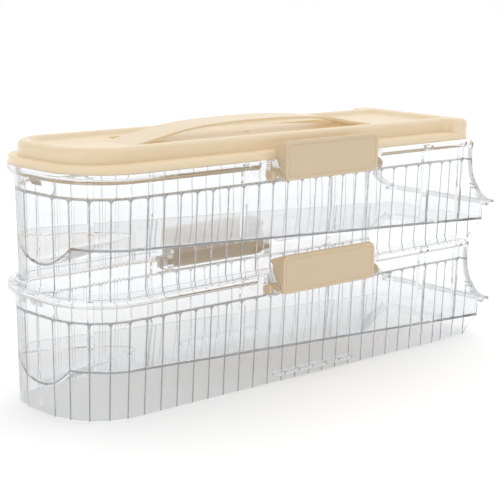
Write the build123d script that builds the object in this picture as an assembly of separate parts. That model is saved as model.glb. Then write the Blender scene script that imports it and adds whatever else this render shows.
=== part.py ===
from build123d import *
import math
import os

os.makedirs("parts", exist_ok=True)

# Plan of a tray at its plain rim band
half_width = 49.05
back_x = -191.8
lip_x = 191.7
front_draft = 2.1
front_x = lip_x + front_draft
back_radius = 36.5
front_radius = 9.0
far_x = lip_x + 40.0
far_y = half_width + 40.0

# Heights of a tray above its own base
tier_pitch = 75.0
flute_top = 60.0
band_bottom = flute_top + 3.0
bead_bottom = 71.0
bead_top = 77.2
spigot_top = 80.0

# How far surfaces stand out from the plain band
base_inset = 2.8
flute_inset = 0.8
band_inset = 0.4
groove_depth = 0.3
groove_half = 0.55
bead_out = 4.3
bead_round = 4.15
spigot_out = 0.9
seat_inset = 1.1
wall = 2.0

# Raised panels round the skirt
flute_pitch = 13.26
flute_front_x = 133.9
flute_count = 27
mouth_flute_xs = [170.2, 156.9, 143.4]
corner_steps = 4

# Sloping egg floor and the dip at its back end
floor_level = 23.84
floor_slope = 0.047
floor_thickness = 2.0
dip_radius = 34.0
dip_depth = 13.0
dip_length = 70.0

# Inner posts that carry the piece above
post_depth = 4.0
side_posts = [(-63.8, -60.2), (115.2, 121.2), (156.6, 160.2)]
corner_post_width = 3.6

# Side profile of the open front end
mouth_points = [
    (161.5, 75.0),
    (161.6, 58.0),
    (163.0, 52.0),
    (166.0, 45.0),
    (169.8, 40.0),
    (175.8, 33.5),
    (182.7, 29.2),
    (188.0, 27.2),
    (193.0, 26.7),
]
toe_points = [
    (171.0, 1.0),
    (176.4, 6.5),
    (181.0, 9.8),
    (185.7, 11.7),
    (193.0, 13.0),
]
front_step_x = 148.2
front_step = 1.0
mouth_flange = 2.2
lip_flange_out = 2.4
lip_top = 26.7
lip_flange = 2.4
spigot_front_x = 152.5

# Ledge on the skirt that the clip below hooks over
ledge_x0 = -34.0
ledge_x1 = 41.0
ledge_bottom = 5.2
ledge_top = 7.4
ledge_out = 1.3

# Clips and their hinges
clip_x0 = -40.8
clip_x1 = 47.7
hinge_out = 6.3
hinge_below_bead = 9.4
hinge_height = bead_top - hinge_below_bead
clip_below_hinge = 4.3
clip_bottom = hinge_height - clip_below_hinge
hook_gap = 0.3
hook_under = tier_pitch + ledge_top + hook_gap
clip_above_hook = 6.9
clip_top = hook_under + clip_above_hook
clip_face = 12.6
clip_inner = 2.6
clip_end_inner = 0.6
clip_nose = 0.2
nose_height = 3.2
clip_wall = 1.8
clip_corner = 5.0
heel_steps = 6
pin_radius = 3.2
pin_seat_gap = 0.02
pin_run_gap = 0.06
pin_stub = 3.5
lug_length = 5.2
lug_gap = 0.5
lug_radius = 5.0
clip_relief = 0.2
bead_break = 13.5

# Lid, in heights above the upper tray's base
lid_front_x = 157.9
lid_corner = 4.7
lid_gap = 0.05
lid_skirt_bottom = bead_top + lid_gap
lid_skirt_out = 3.3
lid_skirt_in = 1.3
lid_skirt_roof = spigot_top + 0.3
lid_flange_top = tier_pitch + ledge_top
lid_body_inset = 6.8
lid_body_back = 5.2
lid_rim_top = 92.2
lid_rim_round = 4.0
lid_wall = 2.2
dish_floor = 88.6
dish_inset_top = 13.5
dish_inset_bottom = 17.0
dish_round = 4.5
bar_x0 = 146.4
bar_end_x0 = 143.0
bar_x1 = lid_front_x + lid_skirt_out
bar_half_width = half_width + lid_skirt_out
bar_corner = 4.05
bar_hollow = 6.0
notch_side = 8.9
notch_x0 = clip_x0 - notch_side
notch_x1 = clip_x1 + notch_side
notch_depth = 1.2
gate_radius = 2.5

# Handle strap and the wells below it
strap_x = -18.0
strap_half_width = 14.0
strap_thickness = 1.6
strap_points = [(0.0, 99.0), (42.0, 98.0), (73.0, 95.0), (89.0, 92.0), (105.0, 89.2), (113.0, 87.8)]
strap_gap = 0.3
well_x0 = 50.0
well_x1 = 100.0
well_half_width = 28.0
well_corner = 6.0
well_depth = 8.0
island_a = 93.0
island_b = 36.0
seat_x0 = 95.0
seat_drop = 2.7


def plan_wire(offset, z, front=front_x, corner=front_radius, back=back_x):
    """Tray outline moved outwards by offset, at height z."""
    x0 = back - offset
    x1 = front + offset
    y = half_width + offset
    rb = back_radius + offset
    rf = max(corner + offset, 1.5)
    kb = rb * (1 - math.sqrt(0.5))
    kf = rf * (1 - math.sqrt(0.5))
    edges = [
        Edge.make_line((x0 + rb, -y, z), (x1 - rf, -y, z)),
        Edge.make_three_point_arc((x1 - rf, -y, z), (x1 - kf, -y + kf, z), (x1, -y + rf, z)),
        Edge.make_line((x1, -y + rf, z), (x1, y - rf, z)),
        Edge.make_three_point_arc((x1, y - rf, z), (x1 - kf, y - kf, z), (x1 - rf, y, z)),
        Edge.make_line((x1 - rf, y, z), (x0 + rb, y, z)),
        Edge.make_three_point_arc((x0 + rb, y, z), (x0 + kb, y - kb, z), (x0, y - rb, z)),
        Edge.make_line((x0, y - rb, z), (x0, -y + rb, z)),
        Edge.make_three_point_arc((x0, -y + rb, z), (x0 + kb, -y + kb, z), (x0 + rb, -y, z)),
    ]
    return Wire(edges)


def prism(offset, z0, z1, front=front_x, corner=front_radius, back=back_x):
    """Upright block with the tray outline."""
    return extrude(Face(plan_wire(offset, z0, front, corner, back)), amount=z1 - z0, dir=(0, 0, 1))


def taper(offset0, z0, offset1, z1, front=front_x, corner=front_radius, back=back_x):
    """Block whose outline changes evenly from one height to another."""
    low = plan_wire(offset0, z0, front, corner, back)
    high = plan_wire(offset1, z1, front, corner, back)
    return Solid.make_loft([low, high], ruled=True)


def block(x0, x1, y0, y1, z0, z1):
    """Box between two corners."""
    return Pos((x0 + x1) / 2, (y0 + y1) / 2, (z0 + z1) / 2) * Box(x1 - x0, y1 - y0, z1 - z0)


def side_solid(points, half=far_y):
    """Outline drawn in side view, made as wide as the whole tray."""
    face = Face(Wire.make_polygon([(x, -half, z) for x, z in points], close=True))
    return extrude(face, amount=2 * half, dir=(0, 1, 0))


def end_solid(points, side, x0, x1):
    """Outline of (distance out from the band, height) run along X on one side."""
    corners = [(x0, side * (half_width + out), h) for out, h in points]
    face = Face(Wire.make_polygon(corners, close=True))
    return extrude(face, amount=x1 - x0, dir=(1, 0, 0))


def side_pin(side, x0, x1, radius):
    """Round bar along a clip hinge."""
    axis = Pos((x0 + x1) / 2, side * (half_width + hinge_out), hinge_height) * Rot(0, 90, 0)
    return axis * Cylinder(radius, x1 - x0)


def smooth(points, steps=6):
    """Points of an even curve through the given ones."""
    curve = Spline(*[(x, 0, z) for x, z in points])
    count = steps * (len(points) - 1)
    places = [curve @ (i / count) for i in range(count + 1)]
    return [(p.X, p.Z) for p in places]


def shifted(points, distance):
    """Curve points moved square to the curve."""
    moved = []
    for i, (x, z) in enumerate(points):
        xa, za = points[max(i - 1, 0)]
        xb, zb = points[min(i + 1, len(points) - 1)]
        length = math.hypot(xb - xa, zb - za)
        moved.append((x + distance * (zb - za) / length, z - distance * (xb - xa) / length))
    return moved


def path_point(s, out):
    """Point on the near half of the skirt, s back from the front corner."""
    straight = front_x - front_radius - back_x - back_radius
    arc = back_radius * math.pi / 2
    if s <= straight:
        return (front_x - front_radius - s, -half_width - out)
    if s <= straight + arc:
        a = (s - straight) / back_radius
        r = back_radius + out
        cx = back_x + back_radius
        cy = -half_width + back_radius
        return (cx - r * math.sin(a), cy - r * math.cos(a))
    return (back_x - out, -half_width + back_radius + s - straight - arc)


def flute_edges():
    """Distances along the near half at which a flute starts."""
    start = front_x - front_radius
    edges = [0.0]
    edges += [start - x for x in mouth_flute_xs]
    edges += [start - flute_front_x + flute_pitch * k for k in range(flute_count)]
    straight = front_x - front_radius - back_x - back_radius
    edges.append(straight + back_radius * math.pi / 2 + half_width - back_radius)
    return edges


def flute_wire(inset, groove, width, z):
    """Outline of raised panels with a groove of this depth and half width between them."""
    edges = flute_edges()
    bend = edges[-1] - back_radius * math.pi / 2 - half_width + back_radius
    near = [path_point(0.0, -inset - groove)]
    for a, b in zip(edges[:-1], edges[1:]):
        steps = corner_steps if b > bend else 1
        for i in range(steps + 1):
            near.append(path_point(a + width + (b - a - 2 * width) * i / steps, -inset))
        near.append(path_point(b, -inset - groove))
    corner = []
    r = front_radius - inset
    for i in range(1, corner_steps + 1):
        a = math.pi / 2 * i / corner_steps
        corner.append((front_x - front_radius + r * math.sin(a), -half_width + front_radius - r * math.cos(a)))
    half = list(reversed(near)) + corner
    full = half + [(x, -y) for x, y in reversed(half[1:])]
    return Wire.make_polygon([(x, y, z) for x, y in full], close=True)


def fluted_skirt():
    """Tapered skirt of raised panels with rounded tops, set off from the plain band by a groove."""
    rows = [
        flute_wire(base_inset, groove_depth, groove_half, 0.0),
        flute_wire(flute_inset, groove_depth, groove_half, flute_top),
        flute_wire(flute_inset, groove_depth, groove_half + 0.6, flute_top + 1.1),
        flute_wire(flute_inset, groove_depth, groove_half + 1.9, flute_top + 1.8),
        flute_wire(flute_inset + groove_depth, 0.02, groove_half + 2.4, flute_top + 2.3),
        flute_wire(band_inset, 0.02, groove_half + 2.4, band_bottom),
    ]
    return Solid.make_loft(rows, ruled=True)


def rim():
    """Plain band, rolled bead and the low spigot above it."""
    bead = prism(bead_out, bead_bottom, bead_top)
    low_edges = bead.edges().group_by(Axis.Z)[0]
    bead = fillet(low_edges, bead_round)
    spigot = prism(spigot_out, bead_top - 0.5, spigot_top)
    return taper(-band_inset, band_bottom, 0.0, bead_top) + bead + spigot


def floor_height(x):
    return floor_level - floor_slope * x


def side_profile():
    """Side view of the tray, open at the mouth and raised at the toe."""
    top = spigot_top + 1.0
    points = [(-far_x, 0.0), (front_step_x, 0.0), (front_step_x, front_step)]
    points += smooth(toe_points)
    points += [(far_x, toe_points[-1][1]), (far_x, lip_top)]
    points += list(reversed(smooth(mouth_points)))
    points += [(mouth_points[0][0], top), (-far_x, top)]
    return side_solid(points)


def tunnel(extra=0.0):
    """Space inside the side walls, from the base to the seat for the piece above."""
    return taper(extra - base_inset - wall, -1.0, extra - wall, tier_pitch)


def egg_floor():
    """Sloping floor with a round trough running down to the back wall, and the posts on it."""
    xa, xb = -far_x, far_x
    za, zb = floor_height(xa), floor_height(xb)
    t = floor_thickness
    slab = side_solid([(xa, za - t), (xb, zb - t), (xb, zb), (xa, za)])
    below = side_solid([(xa, 5.0), (xb, 5.0), (xb, zb - t / 2), (xa, za - t / 2)])
    above = side_solid([(xa, za - t / 2), (xb, zb - t / 2), (xb, tier_pitch), (xa, tier_pitch)])
    dip_x = back_x + wall + 1.0
    rise = math.degrees(math.atan(dip_depth / dip_length - floor_slope))
    centre = Pos(dip_x, 0, floor_height(dip_x) - dip_depth + dip_radius) * Rot(0, 90 - rise, 0)
    shell = (centre * Cylinder(dip_radius + t, 4 * dip_length)) & below
    posts = corner_post(1) + corner_post(-1)
    for side in (1, -1):
        inner = half_width - wall - post_depth
        y0, y1 = sorted((side * inner, side * half_width))
        for x0, x1 in side_posts:
            posts += block(x0, x1, y0, y1, ledge_top, tier_pitch)
    trough = centre * Cylinder(dip_radius, 4 * dip_length)
    return (slab + shell + (posts & above) - trough) & tunnel(0.6)


def corner_post(side):
    """Post at forty-five degrees in a back corner."""
    length = post_depth + wall
    radius = back_radius - length / 2
    centre = Pos(back_x + back_radius, side * (half_width - back_radius), tier_pitch / 2)
    height = tier_pitch - ledge_top
    return centre * Rot(0, 0, 180 - 45 * side) * Pos(radius, 0, ledge_top / 2) * Box(length, corner_post_width, height)


def lug(side, x0, x1):
    """Short rounded lug below the bead that holds one end of a hinge pin."""
    low = hinge_height - lug_radius
    high = hinge_height + lug_radius
    arm = [(-1.0, low), (hinge_out, low), (hinge_out, high), (bead_out, bead_top), (-1.0, bead_top)]
    body = end_solid(arm, side, x0, x1) + side_pin(side, x0, x1, lug_radius)
    return body - side_pin(side, x0 - 1, x1 + 1, pin_radius + pin_seat_gap)


def lug_pair(side):
    """Both lugs of one clip."""
    inner0 = clip_x0 - lug_gap
    inner1 = clip_x1 + lug_gap
    return lug(side, inner0 - lug_length, inner0) + lug(side, inner1, inner1 + lug_length)


def catch_ledge(side):
    """Ledge on the skirt for the clip of the tray below."""
    root = -base_inset - 0.6
    shape = [(root, ledge_bottom), (ledge_out, ledge_bottom), (ledge_out, ledge_top), (root, ledge_top)]
    return end_solid(shape, side, ledge_x0, ledge_x1)


def mouth_edge():
    """Flange turned outwards along the mouth and round the lip."""
    curve = smooth(mouth_points)
    back = shifted(curve, -mouth_flange)
    strip = side_solid(curve + list(reversed(back)), half_width + bead_out)
    lip = prism(lip_flange_out, lip_top - lip_flange, lip_top)
    lip = lip & block(lip_x - 5.7, far_x, -far_y, far_y, 0, bead_top)
    return (strip & block(0, lip_x, -far_y, far_y, 0, bead_top)) + lip


def back_lug():
    """Small wedge below the bead in the middle of the back."""
    shape = [(back_x + 0.8, bead_top - 1), (back_x - bead_out + 0.2, bead_top - 2), (back_x + 0.8, 66.5)]
    return side_solid(shape, 5.0)


def tray():
    """One clear tray, on its own base."""
    body = fluted_skirt() + rim()
    low = bead_bottom - 1
    relief = [(clip_relief, low), (8.0, low), (8.0, bead_top), (clip_relief, bead_top)]
    aside = lug_gap + bead_break
    for side in (1, -1):
        body -= end_solid(relief, side, clip_x0 - aside, clip_x1 + aside)
        body += catch_ledge(side)
    body &= side_profile()
    body += mouth_edge()
    body += back_lug()
    body -= tunnel()
    body -= prism(-seat_inset, tier_pitch, spigot_top + 0.5)
    body -= block(spigot_front_x, far_x, -far_y, far_y, bead_top, spigot_top + 1)
    body += egg_floor() & side_profile()
    for side in (1, -1):
        body += lug_pair(side)
    return body


def clip(side):
    """Hollow clip: face plate, end walls with a round heel below the hinge, and a hook along the top."""
    slope = clip_inner - 0.5 - clip_nose
    reach = hinge_out - clip_end_inner
    turn = math.asin(clip_below_hinge / reach)
    heel = [turn * i / heel_steps for i in range(heel_steps + 1)]
    outer = [(hinge_out - reach * math.cos(a), hinge_height - reach * math.sin(a)) for a in heel]
    outer += [
        (clip_face - 2.0, clip_bottom),
        (clip_face - 0.6, clip_bottom + 0.6),
        (clip_face, clip_bottom + 2.0),
        (clip_face, clip_top - 1.6),
        (clip_face - 0.5, clip_top - 0.5),
        (clip_face - 1.6, clip_top),
        (clip_face - 3.0, clip_top - 0.2),
        (clip_nose + 0.5, hook_under + nose_height),
        (clip_nose, hook_under + nose_height - 0.5),
        (clip_nose, hook_under + slope),
        (clip_nose + slope, hook_under),
        (clip_inner, hook_under),
        (clip_inner, bead_top + 0.3),
        (clip_end_inner, bead_top + 0.3 - clip_inner + clip_end_inner),
    ]
    body = end_solid(outer, side, clip_x0, clip_x1)
    y0, y1 = sorted((side * (half_width - 2), side * (half_width + clip_face + 2)))
    front = block(clip_x0, clip_x1, y0, y1, clip_bottom, clip_top)
    body = body & fillet(front.edges().filter_by(Axis.Y), clip_corner)
    floor = clip_bottom + clip_wall
    roof = clip_top - clip_wall
    face = clip_face - clip_wall
    shelf = hook_under - 0.7
    hollow = [(-2.0, floor), (face, floor), (face, roof - 0.8), (5.0, roof - 2.4), (5.0, shelf), (-2.0, shelf)]
    body -= end_solid(hollow, side, clip_x0 + clip_wall, clip_x1 - clip_wall)
    body -= side_pin(side, clip_x0 - 1, clip_x1 + 1, pin_radius + pin_run_gap)
    return body - face_groove(side)


def face_groove(side):
    """Fine border line set in from the edge of the clip face."""
    inset = 2.4
    line = 0.6
    depth = 0.3
    y = side * (half_width + clip_face)
    y0, y1 = sorted((y - side * depth, y + side))
    big = block(clip_x0 + inset, clip_x1 - inset, y0, y1, clip_bottom + inset, clip_top - inset)
    inset += line
    small = block(clip_x0 + inset, clip_x1 - inset, y0, y1, clip_bottom + inset, clip_top - inset)
    big = fillet(big.edges().filter_by(Axis.Y), clip_corner - 2.0)
    small = fillet(small.edges().filter_by(Axis.Y), clip_corner - 2.6)
    return big - small


def hinge_pin(side):
    """Pin held in both lugs, with a short stub past each."""
    aside = lug_gap + lug_length + pin_stub
    return side_pin(side, clip_x0 - aside, clip_x1 + aside, pin_radius)


def well(end, grow, z0, z1):
    """Well under the strap's end, round the pointed floor island."""
    x0, x1 = sorted((strap_x + end * well_x0, strap_x + end * (well_x1 + grow)))
    width = well_half_width + grow
    outer = block(x0, x1, -width, width, z0, z1)
    outer = fillet(outer.edges().filter_by(Axis.Z).group_by(Axis.X)[-1 if end > 0 else 0], well_corner)
    return outer - island(grow, z0 - 1, z1 + 1)


def island(shrink, z0, z1):
    """Pointed floor island where two wide arcs cross."""
    a = island_a - shrink
    b = island_b - shrink
    radius = (a * a + b * b) / (2 * b)
    shift = radius - b
    low = Pos(strap_x, -shift, (z0 + z1) / 2) * Cylinder(radius, z1 - z0)
    high = Pos(strap_x, shift, (z0 + z1) / 2) * Cylinder(radius, z1 - z0)
    return low & high


def strap_seat(end, grow, z0, z1):
    """Recess that takes the end of the strap."""
    tip = strap_points[-1][0] + strap_gap + grow
    x0, x1 = sorted((strap_x + end * seat_x0, strap_x + end * tip))
    width = strap_half_width + strap_gap + grow
    return block(x0, x1, -width, width, z0, z1)


def lid():
    """Lid with a turned-down skirt, a raised body, a shallow dish and a front bar."""
    body = prism(lid_skirt_out, lid_skirt_bottom, lid_flange_top, lid_front_x, lid_corner)
    body = fillet(body.edges().group_by(Axis.Z)[-1], 0.8)
    body_back = back_x - lid_body_back
    low = lid_flange_top - 2
    inner_y = half_width - lid_body_inset
    raised = prism(-lid_body_inset, low, lid_rim_top, lid_front_x, lid_corner, body_back)
    raised += block(bar_end_x0, bar_x1, -bar_half_width, bar_half_width, low, lid_rim_top)
    for x, y, radius in (
        (bar_end_x0, inner_y, bar_hollow),
        (bar_end_x0, bar_half_width, bar_corner),
        (bar_x1, bar_half_width, lid_corner + lid_skirt_out),
    ):
        corners = []
        for edge in raised.edges().filter_by(Axis.Z):
            place = edge.center()
            if abs(place.X - x) < 0.01 and abs(abs(place.Y) - y) < 0.01:
                corners.append(edge)
        raised = fillet(corners, radius)
    raised = fillet(raised.edges().group_by(Axis.Z)[-1], lid_rim_round)
    dish_front = bar_x0 + dish_inset_bottom
    dish = taper(-dish_inset_bottom, dish_floor, -dish_inset_top, lid_rim_top + 0.1, dish_front, 19.0, body_back)
    raised -= fillet(dish.edges().group_by(Axis.Z)[0], dish_round)
    ring = raised.faces().sort_by(Axis.Z)[-1]
    raised = fillet(ring.inner_wires()[0].edges(), dish_round)
    body += raised
    for side in (1, -1):
        edge = lid_skirt_out - notch_depth
        base = lid_skirt_bottom - 1
        head = lid_flange_top + 1
        shape = [(edge, base), (8.0, base), (8.0, head), (edge, head)]
        body -= end_solid(shape, side, notch_x0, notch_x1)
    roof = dish_floor - lid_wall
    low = lid_skirt_bottom - 1
    hollow = prism(-lid_body_inset - lid_wall, low, roof, lid_front_x, lid_corner, body_back)
    hollow += prism(lid_skirt_in, low, lid_skirt_roof, lid_front_x, lid_corner)
    hollow += block(bar_x0 + lid_wall, bar_x1 - lid_wall, -inner_y, inner_y, low, lid_rim_top - lid_wall)
    for end in (1, -1):
        hollow -= well(end, 1.6, dish_floor - well_depth - 1.8, dish_floor)
        hollow -= strap_seat(end, 1.6, dish_floor - seat_drop - 1.8, dish_floor)
    body -= hollow
    for end in (1, -1):
        body -= well(end, 0.0, dish_floor - well_depth, dish_floor + 0.5)
        body -= strap_seat(end, 0.0, dish_floor - seat_drop, dish_floor + 0.5)
    body -= Pos(strap_x, 0, dish_floor) * Cylinder(gate_radius, 0.6)
    return body


def carry_handle():
    """Arched strap seated at both ends in the lid."""
    mirrored = [(-x, z) for x, z in reversed(strap_points[1:])]
    top = smooth(mirrored + strap_points, 4)
    under = shifted(top, strap_thickness)
    points = [(x + strap_x, z) for x, z in top + list(reversed(under))]
    body = side_solid(points, strap_half_width)
    tip = strap_points[-1][0]
    low = dish_floor - seat_drop + 0.1
    return body & block(strap_x - tip, strap_x + tip, -far_y, far_y, low, strap_points[0][1] + 1)


def save(shape, name):
    """Write one node as its own file."""
    solids = shape.solids()
    print(name, len(solids), "solid(s), volume", round(sum(s.volume for s in solids)), "mm3")
    export_step(shape if len(solids) > 1 else solids[0], "parts/" + name + ".step")


up = Location((0, 0, tier_pitch))
lower = tray()
save(lower, "lower_tier")
save(lower.moved(up), "upper_tier")
for side, word in ((1, "left"), (-1, "right")):
    save(clip(side), "lower_clip_" + word)
    save(clip(side).moved(up), "upper_clip_" + word)
    save(hinge_pin(side), "lower_clip_pin_" + word)
    save(hinge_pin(side).moved(up), "upper_clip_pin_" + word)
save(lid().moved(up), "lid")
save(carry_handle().moved(up), "carry_handle")
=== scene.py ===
import math

import bpy
from mathutils import Matrix, Vector


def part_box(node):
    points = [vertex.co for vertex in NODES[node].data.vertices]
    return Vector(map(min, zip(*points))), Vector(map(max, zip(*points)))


bl_info = {
    "name": "Stacking egg box",
    "version": (1, 0, 0),
    "blender": (4, 5, 0),
    "location": "3D View > Sidebar > Egg box",
    "description": "Dresses a two-tier egg box: clear trays, cream lid, strap, clips and pins",
    "category": "Object",
}

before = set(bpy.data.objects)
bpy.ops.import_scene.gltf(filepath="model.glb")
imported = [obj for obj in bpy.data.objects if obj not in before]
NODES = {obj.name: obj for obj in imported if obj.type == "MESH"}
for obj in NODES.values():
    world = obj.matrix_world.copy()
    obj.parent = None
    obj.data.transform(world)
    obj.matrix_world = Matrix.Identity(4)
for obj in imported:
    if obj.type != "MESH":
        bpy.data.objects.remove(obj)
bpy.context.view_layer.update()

# Outline of a tray's fluted skirt, as the frame has it
HALF_WIDTH = 0.04905
BACK_X = -0.1918
BACK_RADIUS = 0.0365
BASE_INSET = 0.0028
SKIRT_LEAN = 2.0 / 60.0

# Grooves between the skirt's panels, and the painted shade lines drawn along them and above the panels
GROOVE_X = 0.1339
GROOVE_PITCH = 0.01326
MOUTH_GROOVE_X = 0.1434
MOUTH_PITCH = 0.0134
MOUTH_LAST_X = 0.1765
PANEL_TOP = 0.0612
PANEL_CORNER = 0.0025
LINE_TOP = 0.0622
LINE_SOFTNESS = 0.0002
SKIN_DEPTH = 0.0008

# Sloping egg floor and the trough at its back end, above a tray's base, whose edge gets a painted shade line
# on the wall
FLOOR_LEVEL = 0.02384
FLOOR_SLOPE = 0.047
FLOOR_HALF_THICKNESS = 0.001
TROUGH_X = -0.1888
TROUGH_RADIUS = 0.034
TROUGH_DEPTH = 0.013
TROUGH_LENGTH = 0.070
TROUGH_RISE = TROUGH_DEPTH / TROUGH_LENGTH - FLOOR_SLOPE

# Flange round the open mouth, and how much of the painted edge shade it takes
LIP_X = 0.1938
FLANGE_OUT = 0.0011
FLANGE_X = 0.1585
FLANGE_TOP = 0.0705
FLANGE_PAINTED_SHADE = 0.55

# Clear plastic
CLEAR_ROUGH = 0.03
CLEAR_IOR = 1.45
WAVE_SCALE = 28.0
WAVE_DETAIL = 1.0
WAVE_STRENGTH = 0.12
WAVE_HEIGHT = 0.001

# Facing values between which the clear plastic goes over to its painted edge shade
FACING_BLEND = 0.5
EDGE_START = 0.42
EDGE_FULL = 0.95

# Where a normal's upright part is at least this, as on the egg floor, the clear tint stays at a grazing
# angle, without painted edge shade
LEVEL_NORMAL = 0.93

# Shadow rays, and rays with more bounces than this, go straight through with this share of the tint
DEEPEST_RAY = 14.0
STRAIGHT_SHARE = 0.97

# Cream plastic
LID_ROUGH = 0.30
STRAP_ROUGH = 0.32
CLIP_ROUGH = 0.38
PIN_ROUGH = 0.34
ROUGH_SPREAD = 0.04
DARK_SHARE = 0.965
DRIFT_SCALE = 14.0
DRIFT_DETAIL = 2.0
GRAIN_DETAIL = 3.0
GRAIN_STRENGTH = 0.06
GRAIN_HEIGHT = 0.0003
CREAM_IOR = 1.46
CREAM_SUBSURFACE = 0.3
CREAM_SUBSURFACE_RADIUS = (1.0, 0.75, 0.5)
CREAM_SUBSURFACE_SCALE = 0.004

# The strap is a shade darker than the lid
STRAP_SHADE = 0.93

# Studio floor: the light that it adds keeps it white as far as the camera sees it
STUDIO_FLOOR_ROUGH = 0.9
STUDIO_FLOOR_GLOW = 0.24

# Backdrop: the way to its bright side, the stretch over which it dims, and the level of the dim side
BRIGHT_WAY = (0.68, 0.71, 0.18)
DIM_END = 0.05
BRIGHT_END = 0.75
DIM_LEVEL = 0.3

# Lamps: name, place that a lamp shines from, spread in degrees, strength
LAMPS = (
    ("key", (-1.2, -1.0, 1.9), 50.0, 0.34),
    ("front", (-2.0, -0.8, 0.5), 30.0, 0.41),
    ("fill", (1.6, -1.4, 1.2), 70.0, 0.15),
    ("top", (0.0, -0.3, 2.0), 140.0, 1.0),
)

# Camera: place, its turn, rise and roll in degrees, lens and sensor in millimetres, clipping in metres
CAMERA_PLACE = (-0.7113, -0.72462, 0.27715)
CAMERA_ANGLES = (-43.976, 11.023, 1.1975)
CAMERA_LENS = 106.72
CAMERA_SENSOR = 36.0
CAMERA_CLIP_START = 0.05
CAMERA_CLIP_END = 50.0

# Bounces that light may take through the clear walls, and off matt surfaces
CLEAR_BOUNCES = 32
MATT_BOUNCES = 6


class EggBoxColours(bpy.types.PropertyGroup):
    """Colours of the egg box and of the studio floor, with painted glow for the cream parts and painted shade
    for the clear trays
    """
    lid_cream: bpy.props.FloatVectorProperty(
        name="Lid cream", description="Colour of the lid and the strap",
        subtype="COLOR", size=3, min=0.0, max=1.0, default=(0.66, 0.55, 0.395))
    # Painted glow: emission that lightens the shaded parts of the lid and strap, such as the floor under the
    # strap
    lid_painted_glow: bpy.props.FloatVectorProperty(
        name="Lid glow", description="Light let through by the thin moulding, seen in the shade of the lid",
        subtype="COLOR", size=3, min=0.0, max=1.0, default=(0.18, 0.142, 0.088))
    clip_cream: bpy.props.FloatVectorProperty(
        name="Clip cream", description="Colour of the clips and their pins",
        subtype="COLOR", size=3, min=0.0, max=1.0, default=(0.505, 0.42, 0.328))
    # Painted glow: emission that lightens the shaded hollows of the clips and pins
    clip_painted_glow: bpy.props.FloatVectorProperty(
        name="Clip glow", description="Light let through by the thin moulding, seen in the hollow of a clip",
        subtype="COLOR", size=3, min=0.0, max=1.0, default=(0.16, 0.112, 0.045))
    clear_tint: bpy.props.FloatVectorProperty(
        name="Clear tint", description="Tint of the clear trays",
        subtype="COLOR", size=3, min=0.0, max=1.0, default=(0.92, 0.924, 0.93))
    # Painted shade: dark colour standing in for the lines that refraction draws along the grooves
    groove_painted_shade: bpy.props.FloatVectorProperty(
        name="Groove tint", description="Shade of the clear plastic in the grooves between the panels",
        subtype="COLOR", size=3, min=0.0, max=1.0, default=(0.22, 0.22, 0.225))
    # Painted shade: grey that the clear plastic takes where its surface turns away from the camera and on the
    # mouth's flange
    edge_painted_shade: bpy.props.FloatVectorProperty(
        name="Edge tint", description="Shade of the clear plastic where its surface turns away",
        subtype="COLOR", size=3, min=0.0, max=1.0, default=(0.30, 0.30, 0.31))
    floor_white: bpy.props.FloatVectorProperty(
        name="Floor white", description="Colour of the studio floor",
        subtype="COLOR", size=3, min=0.0, max=1.0, default=(0.93, 0.93, 0.93))


class EggBoxSizes(bpy.types.PropertyGroup):
    """Sizes of the painted shade lines, of the moulding grain and of the studio floor"""
    floor_half: bpy.props.FloatProperty(
        name="Floor half width", description="Half the width of the studio floor",
        unit="LENGTH", default=6.0)
    # Half width of the painted shade line along each groove
    painted_groove_half: bpy.props.FloatProperty(
        name="Groove half width", description="Half the width of the shaded line along each groove",
        unit="LENGTH", default=0.0005)
    # Half width of the painted shade line where the egg floor's edge shows through the wall
    painted_floor_line_half: bpy.props.FloatProperty(
        name="Floor line half width",
        description="Half the width of the shaded line along the egg floor's edge",
        unit="LENGTH", default=0.0007)
    grain: bpy.props.FloatProperty(
        name="Moulding grain", description="Size of the fine unevenness of the moulded cream plastic",
        unit="LENGTH", default=0.0009)


def new_material(name):
    """Empty node material with one Principled shader."""
    material = bpy.data.materials.new(name)
    material.use_nodes = True
    tree = material.node_tree
    tree.nodes.clear()
    out = tree.nodes.new("ShaderNodeOutputMaterial")
    shader = tree.nodes.new("ShaderNodeBsdfPrincipled")
    tree.links.new(shader.outputs["BSDF"], out.inputs["Surface"])
    return material, tree, shader


def new_group(name, inputs, outputs):
    """Empty shader node group, with sockets given as pairs of a label and a kind, and its two end nodes."""
    group = bpy.data.node_groups.new(name, "ShaderNodeTree")
    for direction, sockets in (("INPUT", inputs), ("OUTPUT", outputs)):
        for label, kind in sockets:
            group.interface.new_socket(label, in_out=direction, socket_type="NodeSocket" + kind)
    return group, group.nodes.new("NodeGroupInput"), group.nodes.new("NodeGroupOutput")


def maths(tree, operation, *values):
    """Output of one Math node fed by sockets or numbers."""
    node = tree.nodes.new("ShaderNodeMath")
    node.operation = operation
    for slot, value in zip(node.inputs, values):
        if isinstance(value, bpy.types.NodeSocket):
            tree.links.new(value, slot)
        else:
            slot.default_value = value
    return node.outputs[0]


def bump_from(tree, height, strength, distance, shader):
    """Bump a shader's normal by one height output."""
    bump = tree.nodes.new("ShaderNodeBump")
    bump.inputs["Strength"].default_value = strength
    bump.inputs["Distance"].default_value = distance
    tree.links.new(height, bump.inputs["Height"])
    tree.links.new(bump.outputs["Normal"], shader.inputs["Normal"])


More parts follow.
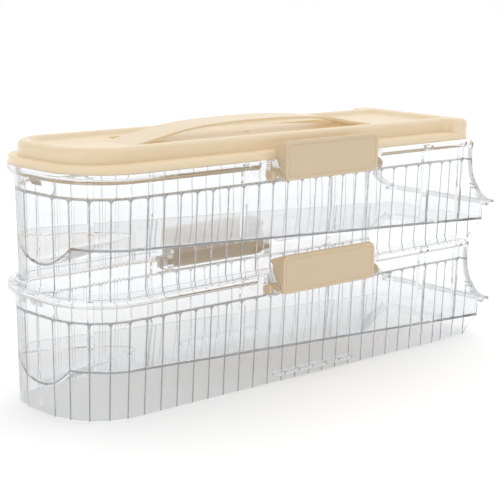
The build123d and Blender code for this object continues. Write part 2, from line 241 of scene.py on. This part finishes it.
def moulding_group():
    """Shared effect: broad tone drift and fine unevenness of moulded plastic, in Object coordinates."""
    name = "Moulded plastic"
    if name in bpy.data.node_groups:
        return bpy.data.node_groups[name]
    group, given, result = new_group(
        name,
        (("Colour", "Color"), ("Dark colour", "Color"), ("Grain scale", "Float"),
         ("Rough low", "Float"), ("Rough high", "Float")),
        (("Colour", "Color"), ("Roughness", "Float"), ("Height", "Float")))
    nodes, links = group.nodes, group.links
    place = nodes.new("ShaderNodeTexCoord")
    drift = nodes.new("ShaderNodeTexNoise")
    drift.inputs["Scale"].default_value = DRIFT_SCALE
    drift.inputs["Detail"].default_value = DRIFT_DETAIL
    fine = nodes.new("ShaderNodeTexNoise")
    fine.inputs["Detail"].default_value = GRAIN_DETAIL
    mix = nodes.new("ShaderNodeMix")
    mix.data_type = "RGBA"
    rough = nodes.new("ShaderNodeMapRange")
    links.new(place.outputs["Object"], drift.inputs["Vector"])
    links.new(place.outputs["Object"], fine.inputs["Vector"])
    links.new(given.outputs["Grain scale"], fine.inputs["Scale"])
    links.new(drift.outputs["Fac"], mix.inputs["Factor"])
    links.new(given.outputs["Dark colour"], mix.inputs["A"])
    links.new(given.outputs["Colour"], mix.inputs["B"])
    links.new(fine.outputs["Fac"], rough.inputs["Value"])
    links.new(given.outputs["Rough low"], rough.inputs["To Min"])
    links.new(given.outputs["Rough high"], rough.inputs["To Max"])
    links.new(mix.outputs["Result"], result.inputs["Colour"])
    links.new(rough.outputs["Result"], result.inputs["Roughness"])
    links.new(fine.outputs["Fac"], result.inputs["Height"])
    return group


def cream_material(name, colour, painted_glow, rough, grain):
    """Opaque cream plastic with a soft gloss, a trace of unevenness, a little light let through, and a
    painted glow that lightens its shade.
    """
    material, tree, shader = new_material(name)
    effect = tree.nodes.new("ShaderNodeGroup")
    effect.node_tree = moulding_group()
    effect.inputs["Colour"].default_value = (*colour, 1.0)
    effect.inputs["Dark colour"].default_value = (*[part * DARK_SHARE for part in colour], 1.0)
    effect.inputs["Grain scale"].default_value = 1.0 / grain
    effect.inputs["Rough low"].default_value = rough - ROUGH_SPREAD
    effect.inputs["Rough high"].default_value = rough + ROUGH_SPREAD
    tree.links.new(effect.outputs["Colour"], shader.inputs["Base Color"])
    tree.links.new(effect.outputs["Roughness"], shader.inputs["Roughness"])
    bump_from(tree, effect.outputs["Height"], GRAIN_STRENGTH, GRAIN_HEIGHT, shader)
    # Painted glow: emission in the given colour that lightens the plastic's shade
    shader.inputs["Emission Color"].default_value = (*painted_glow, 1.0)
    shader.inputs["Emission Strength"].default_value = 1.0
    shader.inputs["IOR"].default_value = CREAM_IOR
    shader.inputs["Subsurface Weight"].default_value = CREAM_SUBSURFACE
    shader.inputs["Subsurface Radius"].default_value = CREAM_SUBSURFACE_RADIUS
    shader.inputs["Subsurface Scale"].default_value = CREAM_SUBSURFACE_SCALE
    return material


def groove_group():
    """Shared effect for the trays: a mask of the painted shade lines and a mask of the mouth's flange, which
    takes painted edge shade.

    The way along the outline is x on the straight, then the back corner's radius times the turn round its
    centre. Ping-pong of that way over half a pitch is the distance to the nearest groove. A point is in a
    groove where it lies outside the rounded panel. The egg floor falls evenly along x, and at the back it is
    the lower of that slope and a round trough: centre height less the root of radius squared less y squared.
    Grooves, the line above the panels and the floor's edge count only in the outer skin of the wall. The
    flange is what stands out past the wall or the lip, near the mouth and below its top.
    """
    name = "Panel grooves"
    if name in bpy.data.node_groups:
        return bpy.data.node_groups[name]
    group, given, result = new_group(
        name,
        (("Base height", "Float"), ("Half width", "Float"), ("Floor line", "Float")),
        (("Mask", "Float"), ("Mouth", "Float")))
    place = group.nodes.new("ShaderNodeTexCoord")
    parts = group.nodes.new("ShaderNodeSeparateXYZ")
    group.links.new(place.outputs["Object"], parts.inputs[0])
    x, y, z = parts.outputs

    centre_x = BACK_X + BACK_RADIUS
    centre_y = HALF_WIDTH - BACK_RADIUS
    height = maths(group, "SUBTRACT", z, given.outputs["Base height"])
    behind = maths(group, "MAXIMUM", maths(group, "SUBTRACT", centre_x, x), 0.0)
    aside = maths(group, "MAXIMUM", maths(group, "SUBTRACT", maths(group, "ABSOLUTE", y), centre_y), 0.0)

    turn = maths(group, "ARCTAN2", behind, aside)
    straight = maths(group, "SUBTRACT", GROOVE_X, maths(group, "MAXIMUM", x, centre_x))
    way = maths(group, "MULTIPLY_ADD", turn, BACK_RADIUS, straight)
    back_gap = maths(group, "PINGPONG", way, GROOVE_PITCH / 2)
    mouth_way = maths(group, "SUBTRACT", maths(group, "MINIMUM", x, MOUTH_LAST_X), MOUTH_GROOVE_X)
    mouth_gap = maths(group, "PINGPONG", mouth_way, MOUTH_PITCH / 2)
    at_mouth = maths(group, "GREATER_THAN", x, (GROOVE_X + MOUTH_GROOVE_X) / 2)
    extra = maths(group, "SUBTRACT", mouth_gap, back_gap)
    gap = maths(group, "MULTIPLY_ADD", at_mouth, extra, back_gap)

    over_side = maths(group, "SUBTRACT", maths(group, "ADD", given.outputs["Half width"], PANEL_CORNER), gap)
    over_top = maths(group, "ADD", height, PANEL_CORNER - PANEL_TOP)
    side_part = maths(group, "POWER", maths(group, "MAXIMUM", over_side, 0.0), 2.0)
    top_part = maths(group, "POWER", maths(group, "MAXIMUM", over_top, 0.0), 2.0)
    outside = maths(group, "SQRT", maths(group, "ADD", side_part, top_part))
    soft = group.nodes.new("ShaderNodeMapRange")
    soft.inputs["From Min"].default_value = PANEL_CORNER - LINE_SOFTNESS
    soft.inputs["From Max"].default_value = PANEL_CORNER + LINE_SOFTNESS
    group.links.new(outside, soft.inputs["Value"])
    below = maths(group, "LESS_THAN", height, LINE_TOP)

    behind_part = maths(group, "POWER", behind, 2.0)
    aside_part = maths(group, "POWER", aside, 2.0)
    reach = maths(group, "SQRT", maths(group, "ADD", behind_part, aside_part))
    inner = maths(group, "MULTIPLY_ADD", height, SKIRT_LEAN, BACK_RADIUS - BASE_INSET - SKIN_DEPTH)
    skin = maths(group, "GREATER_THAN", reach, inner)

    # Painted shade line where the egg floor meets the wall, in the outer skin
    slope = maths(group, "MULTIPLY_ADD", x, -FLOOR_SLOPE, FLOOR_LEVEL)
    trough_end = FLOOR_LEVEL - FLOOR_SLOPE * TROUGH_X - TROUGH_DEPTH + TROUGH_RADIUS
    axis = maths(group, "MULTIPLY_ADD", maths(group, "SUBTRACT", x, TROUGH_X), TROUGH_RISE, trough_end)
    square = maths(group, "SUBTRACT", TROUGH_RADIUS ** 2, maths(group, "MULTIPLY", y, y))
    bowl = maths(group, "SUBTRACT", axis, maths(group, "SQRT", maths(group, "MAXIMUM", square, 0.0)))
    floor = maths(group, "SUBTRACT", maths(group, "MINIMUM", slope, bowl), FLOOR_HALF_THICKNESS)
    off_floor = maths(group, "ABSOLUTE", maths(group, "SUBTRACT", height, floor))
    at_floor = maths(group, "LESS_THAN", off_floor, given.outputs["Floor line"])
    lines = maths(group, "MAXIMUM", maths(group, "MULTIPLY", below, soft.outputs["Result"]), at_floor)
    group.links.new(maths(group, "MULTIPLY", lines, skin), result.inputs["Mask"])

    # Mask of the mouth's flange, which takes painted edge shade
    past_wall = maths(group, "SUBTRACT", aside, BACK_RADIUS)
    past_lip = maths(group, "SUBTRACT", x, LIP_X)
    proud = maths(group, "GREATER_THAN", maths(group, "MAXIMUM", past_wall, past_lip), FLANGE_OUT)
    ahead = maths(group, "GREATER_THAN", x, FLANGE_X)
    under = maths(group, "LESS_THAN", height, FLANGE_TOP)
    mouth = maths(group, "MULTIPLY", maths(group, "MULTIPLY", proud, ahead), under)
    group.links.new(mouth, result.inputs["Mouth"])
    return group


def clear_material(name, colours, sizes, base_height):
    """Clear polystyrene: plain transmission, a slight waviness of the wall, painted shade along the grooves
    and the floor's edge, and painted edge shade where the surface turns away and on the mouth's flange.
    """
    tint = colours.clear_tint
    material, tree, shader = new_material(name)
    nodes, links = tree.nodes, tree.links
    grooves = nodes.new("ShaderNodeGroup")
    grooves.node_tree = groove_group()
    grooves.inputs["Base height"].default_value = base_height
    grooves.inputs["Half width"].default_value = sizes.painted_groove_half
    grooves.inputs["Floor line"].default_value = sizes.painted_floor_line_half

    # Painted shade by facing: upright surfaces seen at a grazing angle go over to the edge shade
    glance = nodes.new("ShaderNodeLayerWeight")
    glance.inputs["Blend"].default_value = FACING_BLEND
    edge = nodes.new("ShaderNodeMapRange")
    edge.inputs["From Min"].default_value = EDGE_START
    edge.inputs["From Max"].default_value = EDGE_FULL
    links.new(glance.outputs["Facing"], edge.inputs["Value"])
    surface = nodes.new("ShaderNodeNewGeometry")
    lie = nodes.new("ShaderNodeSeparateXYZ")
    links.new(surface.outputs["Normal"], lie.inputs[0])
    upright = maths(tree, "LESS_THAN", maths(tree, "ABSOLUTE", lie.outputs["Z"]), LEVEL_NORMAL)
    edges = maths(tree, "MULTIPLY", edge.outputs["Result"], upright)
    # Painted shade on the mouth's flange, at this share of the edge shade
    flange = maths(tree, "MULTIPLY", grooves.outputs["Mouth"], FLANGE_PAINTED_SHADE)

    tint_with_painted_edges = nodes.new("ShaderNodeMix")
    tint_with_painted_edges.data_type = "RGBA"
    tint_with_painted_edges.inputs["A"].default_value = (*tint, 1.0)
    tint_with_painted_edges.inputs["B"].default_value = (*colours.edge_painted_shade, 1.0)
    links.new(maths(tree, "MAXIMUM", edges, flange), tint_with_painted_edges.inputs["Factor"])
    shade = nodes.new("ShaderNodeMix")
    shade.data_type = "RGBA"
    # Painted shade along the grooves, above the panels and at the floor's edge
    shade.inputs["B"].default_value = (*colours.groove_painted_shade, 1.0)
    links.new(tint_with_painted_edges.outputs["Result"], shade.inputs["A"])
    links.new(grooves.outputs["Mask"], shade.inputs["Factor"])
    links.new(shade.outputs["Result"], shader.inputs["Base Color"])

    place = nodes.new("ShaderNodeTexCoord")
    wave = nodes.new("ShaderNodeTexNoise")
    wave.inputs["Scale"].default_value = WAVE_SCALE
    wave.inputs["Detail"].default_value = WAVE_DETAIL
    links.new(place.outputs["Object"], wave.inputs["Vector"])
    bump_from(tree, wave.outputs["Fac"], WAVE_STRENGTH, WAVE_HEIGHT, shader)
    shader.inputs["Roughness"].default_value = CLEAR_ROUGH
    shader.inputs["Transmission Weight"].default_value = 1.0
    shader.inputs["IOR"].default_value = CLEAR_IOR

    path = nodes.new("ShaderNodeLightPath")
    trapped = maths(tree, "GREATER_THAN", path.outputs["Ray Depth"], DEEPEST_RAY)
    passes = maths(tree, "MAXIMUM", path.outputs["Is Shadow Ray"], trapped)
    straight = nodes.new("ShaderNodeBsdfTransparent")
    straight.inputs["Color"].default_value = (*[part * STRAIGHT_SHARE for part in tint], 1.0)
    mix = nodes.new("ShaderNodeMixShader")
    links.new(passes, mix.inputs["Fac"])
    links.new(shader.outputs["BSDF"], mix.inputs[1])
    links.new(straight.outputs["BSDF"], mix.inputs[2])
    links.new(mix.outputs["Shader"], nodes["Material Output"].inputs["Surface"])
    return material


def give(node, material):
    """Put one material on a CAD node."""
    mesh = NODES[node].data
    mesh.materials.clear()
    mesh.materials.append(material)


class EGGBOX_OT_clear_trays(bpy.types.Operator):
    """Give both clear trays their plastic"""
    bl_idname = "eggbox.clear_trays"
    bl_label = "Clear trays"

    def execute(self, context):
        colours = context.scene.egg_box_colours
        sizes = context.scene.egg_box_sizes
        for node in ("lower_tier", "upper_tier"):
            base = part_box(node)[0][2]
            give(node, clear_material(node + "_clear", colours, sizes, base))
        return {"FINISHED"}


class EGGBOX_OT_lid(bpy.types.Operator):
    """Give the lid and its strap their cream plastic"""
    bl_idname = "eggbox.lid"
    bl_label = "Lid and strap"

    def execute(self, context):
        colours = context.scene.egg_box_colours
        grain = context.scene.egg_box_sizes.grain
        strap = tuple(part * STRAP_SHADE for part in colours.lid_cream)
        give("lid", cream_material("lid_cream", colours.lid_cream, colours.lid_painted_glow, LID_ROUGH, grain))
        give("carry_handle", cream_material("strap_cream", strap, colours.lid_painted_glow, STRAP_ROUGH, grain))
        return {"FINISHED"}


class EGGBOX_OT_clips(bpy.types.Operator):
    """Give the clips and their pins their cream plastic"""
    bl_idname = "eggbox.clips"
    bl_label = "Clips and pins"

    def execute(self, context):
        colours = context.scene.egg_box_colours
        grain = context.scene.egg_box_sizes.grain
        clip = cream_material("clip_cream", colours.clip_cream, colours.clip_painted_glow, CLIP_ROUGH, grain)
        pin = cream_material("pin_cream", colours.clip_cream, colours.clip_painted_glow, PIN_ROUGH, grain)
        for tier in ("lower", "upper"):
            for side in ("left", "right"):
                give(f"{tier}_clip_{side}", clip)
                give(f"{tier}_clip_pin_{side}", pin)
        return {"FINISHED"}


def studio_surroundings(tree):
    """White backdrop behind the box, dimmer towards the room that its surfaces mirror."""
    nodes, links = tree.nodes, tree.links
    back = nodes["Background"]
    back.inputs["Strength"].default_value = 1.0
    place = nodes.new("ShaderNodeTexCoord")
    along = nodes.new("ShaderNodeVectorMath")
    along.operation = "DOT_PRODUCT"
    along.inputs[1].default_value = BRIGHT_WAY
    ramp = nodes.new("ShaderNodeMapRange")
    ramp.interpolation_type = "SMOOTHSTEP"
    ramp.inputs["From Min"].default_value = DIM_END
    ramp.inputs["From Max"].default_value = BRIGHT_END
    ramp.inputs["To Min"].default_value = DIM_LEVEL
    ramp.inputs["To Max"].default_value = 1.0
    path = nodes.new("ShaderNodeLightPath")
    links.new(place.outputs["Generated"], along.inputs[0])
    links.new(along.outputs["Value"], ramp.inputs["Value"])
    seen = maths(tree, "MAXIMUM", ramp.outputs["Result"], path.outputs["Is Camera Ray"])
    links.new(seen, back.inputs["Color"])


def studio_floor(scene):
    """Wide pale floor with its own faint light."""
    half = scene.egg_box_sizes.floor_half
    corners = [(-half, -half, 0), (half, -half, 0), (half, half, 0), (-half, half, 0)]
    mesh = bpy.data.meshes.new("studio_floor")
    mesh.from_pydata(corners, [], [(0, 1, 2, 3)])
    floor = bpy.data.objects.new("studio_floor", mesh)
    scene.collection.objects.link(floor)
    material, _, shader = new_material("studio_floor")
    shader.inputs["Base Color"].default_value = (*scene.egg_box_colours.floor_white, 1.0)
    shader.inputs["Roughness"].default_value = STUDIO_FLOOR_ROUGH
    shader.inputs["Emission Color"].default_value = (1.0, 1.0, 1.0, 1.0)
    shader.inputs["Emission Strength"].default_value = STUDIO_FLOOR_GLOW
    mesh.materials.append(material)


def studio_lamps(scene):
    """Wide soft lamps, each turned to shine from its place towards the origin."""
    for name, place, spread, power in LAMPS:
        data = bpy.data.lights.new(name, "SUN")
        data.angle = math.radians(spread)
        data.energy = power
        lamp = bpy.data.objects.new(name, data)
        scene.collection.objects.link(lamp)
        lamp.location = place
        lamp.rotation_euler = Vector(place).to_track_quat("Z", "Y").to_euler()


def studio_camera(scene):
    """Camera at the photograph's viewing angle.

    Its backward axis follows from the turn and the rise, its level axes from that one, and they are then
    rolled about it.
    """
    camera = bpy.data.cameras.new("camera")
    camera.sensor_width = CAMERA_SENSOR
    camera.lens = CAMERA_LENS
    camera.clip_start = CAMERA_CLIP_START
    camera.clip_end = CAMERA_CLIP_END
    eye = bpy.data.objects.new("camera", camera)
    scene.collection.objects.link(eye)
    turn, rise, roll = (math.radians(angle) for angle in CAMERA_ANGLES)
    level = math.cos(rise)
    back_way = Vector((math.sin(turn) * level, -math.cos(turn) * level, math.sin(rise)))
    right = Vector((math.cos(turn), math.sin(turn), 0.0))
    up = back_way.cross(right)
    across = right * math.cos(roll) + up * math.sin(roll)
    over = up * math.cos(roll) - right * math.sin(roll)
    pose = Matrix((across, over, back_way)).transposed().to_4x4()
    pose.translation = Vector(CAMERA_PLACE)
    eye.matrix_world = pose
    scene.camera = eye


class EGGBOX_OT_stage(bpy.types.Operator):
    """Set the pale floor, the soft lights and the camera"""
    bl_idname = "eggbox.stage"
    bl_label = "Stage"

    def execute(self, context):
        scene = context.scene
        studio_floor(scene)
        world = bpy.data.worlds.new("studio")
        scene.world = world
        world.use_nodes = True
        studio_surroundings(world.node_tree)
        studio_lamps(scene)
        studio_camera(scene)
        scene.view_settings.view_transform = "Standard"
        scene.cycles.max_bounces = CLEAR_BOUNCES
        scene.cycles.transmission_bounces = CLEAR_BOUNCES
        scene.cycles.glossy_bounces = CLEAR_BOUNCES
        scene.cycles.transparent_max_bounces = CLEAR_BOUNCES
        scene.cycles.diffuse_bounces = MATT_BOUNCES
        return {"FINISHED"}


class EGGBOX_PT_panel(bpy.types.Panel):
    """List the sizes, the colours and the pieces of the egg box"""
    bl_idname = "EGGBOX_PT_panel"
    bl_label = "Egg box"
    bl_space_type = "VIEW_3D"
    bl_region_type = "UI"
    bl_category = "Egg box"

    def draw(self, context):
        layout = self.layout
        for group in (context.scene.egg_box_sizes, context.scene.egg_box_colours):
            for name in group.__annotations__:
                layout.prop(group, name)
        for operator in OPERATORS:
            layout.operator(operator.bl_idname)


OPERATORS = (EGGBOX_OT_clear_trays, EGGBOX_OT_lid, EGGBOX_OT_clips, EGGBOX_OT_stage)
CLASSES = (EggBoxColours, EggBoxSizes) + OPERATORS + (EGGBOX_PT_panel,)


def register():
    """Make the classes and the scene's two property groups known to Blender."""
    for item in CLASSES:
        bpy.utils.register_class(item)
    bpy.types.Scene.egg_box_colours = bpy.props.PointerProperty(type=EggBoxColours)
    bpy.types.Scene.egg_box_sizes = bpy.props.PointerProperty(type=EggBoxSizes)


def unregister():
    """Undo register, in the opposite order."""
    del bpy.types.Scene.egg_box_sizes
    del bpy.types.Scene.egg_box_colours
    for item in reversed(CLASSES):
        bpy.utils.unregister_class(item)


def main():
    register()
    bpy.ops.eggbox.clear_trays()
    bpy.ops.eggbox.lid()
    bpy.ops.eggbox.clips()
    bpy.ops.eggbox.stage()


if __name__ == "__main__":
    main()
